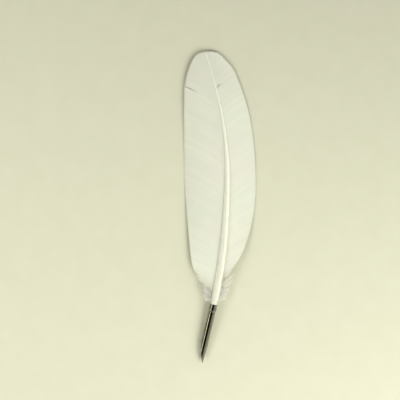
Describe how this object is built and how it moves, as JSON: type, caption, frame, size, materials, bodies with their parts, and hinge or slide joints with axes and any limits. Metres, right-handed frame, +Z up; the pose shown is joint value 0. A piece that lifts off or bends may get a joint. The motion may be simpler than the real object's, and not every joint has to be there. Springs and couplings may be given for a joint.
{
  "type": "quill pen",
  "caption": "White goose feather quill pen with a rolled steel barrel nib pushed over the cut end of its shaft.",
  "frame": {"origin": "centre of the pen's outline in plan, on the surface that the pen lies on", "axes": "+Y along the pen towards the feather's tip, nib towards -Y, +X towards the narrow vane, +Z up from the surface"},
  "size_m": [0.0642, 0.2774, 0.0135],
  "materials": {
    "horn": "satin",
    "pith": "matte",
    "membrane": "matte",
    "vane": "satin",
    "down": "matte",
    "steel": "polished"
  },
  "bodies": {
    "quill": {"feather_shaft": "horn", "rachis_pith": "pith", "pulp_caps": "membrane", "left_vane": "vane", "left_vane_tip": "vane", "right_vane": "vane", "right_vane_tip": "vane", "left_downy_barbs": "down", "right_downy_barbs": "down"},
    "nib": {"nib_barrel": "steel"},
    "left_tine": {"nib_left_tine": "steel"},
    "right_tine": {"nib_right_tine": "steel"}
  },
  "joints": [
    {"name": "nib_pull", "type": "slide", "parent": "quill", "child": "nib", "axis": [-0.2275, -0.9699, -0.0872], "range_m": [0, 0.012]},
    {"name": "left_tine_flex", "type": "hinge", "parent": "nib", "child": "left_tine", "pos_m": [-0.01013, -0.12541, 0.00215], "axis": [-0.1047, -0.0646, 0.9924], "range_deg": [0, 4], "stiffness_Nm_per_rad": 0.15},
    {"name": "right_tine_flex", "type": "hinge", "parent": "nib", "child": "right_tine", "pos_m": [-0.01392, -0.12501, 0.00753], "axis": [-0.8908, 0.1711, 0.421], "range_deg": [0, 4], "stiffness_Nm_per_rad": 0.15}
  ]
}
